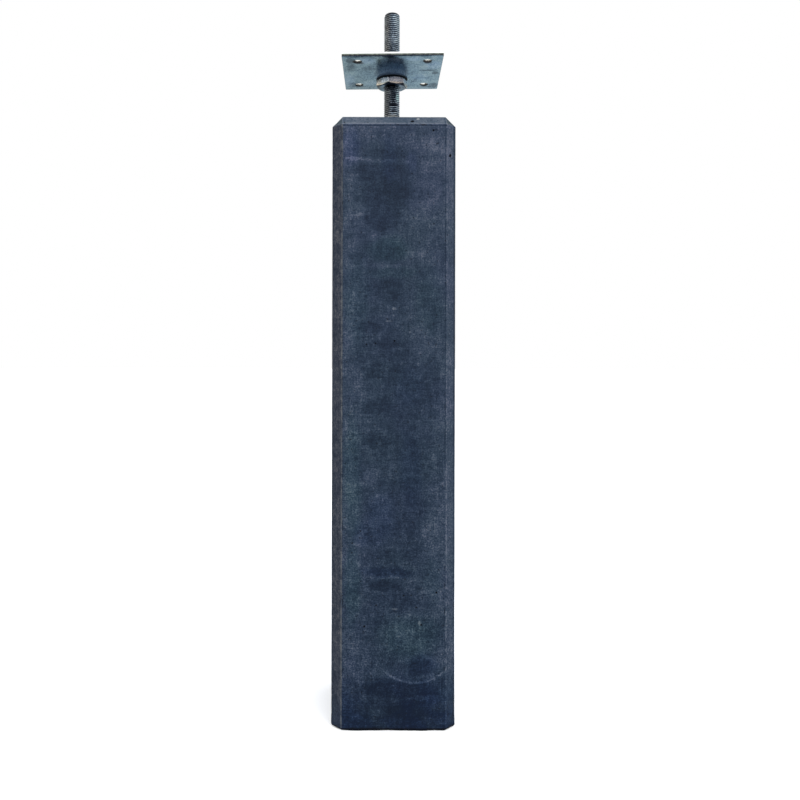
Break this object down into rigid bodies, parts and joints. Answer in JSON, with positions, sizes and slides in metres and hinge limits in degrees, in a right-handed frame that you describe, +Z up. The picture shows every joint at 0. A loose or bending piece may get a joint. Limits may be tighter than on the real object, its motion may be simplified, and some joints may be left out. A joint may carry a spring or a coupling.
{
  "type": "column base block",
  "caption": "Tall square concrete column base block with chamfered edges, a threaded rod set in its top, and a square steel post plate that a nut raises and lowers.",
  "frame": {"origin": "middle of the underside of the block, on the surface that it stands on", "axes": "+Z up along the rod; -Y is the front face that the picture shows, +X to its right"},
  "size_m": [0.12, 0.12, 0.712],
  "materials": {
    "concrete": "dark blue-grey anthracite concrete, form-cast, matt",
    "rod_zinc": "zinc-plated rolled thread, dulled",
    "nut_zinc": "bright zinc plating",
    "plate_zinc": "satin zinc plating"
  },
  "bodies": {
    "footing": {"concrete_block": "concrete", "threaded_rod": "rod_zinc"},
    "head": {"post_plate": "plate_zinc", "washer": "plate_zinc"},
    "nut": {"hex_nut": "nut_zinc"}
  },
  "joints": [
    {"name": "head_rise", "type": "slide", "parent": "footing", "child": "head", "axis": [0, 0, 1], "range_m": [-0.043, 0.055]},
    {"name": "nut_turn", "type": "hinge", "parent": "head", "child": "nut", "pos_m": [0, 0, 0.6402], "axis": [0, 0, 1], "range_deg": [-7740, 9900]}
  ],
  "couplings": [
    {"joint": "nut_turn", "follows": "head_rise", "rad_per_m": 3141.6}
  ]
}
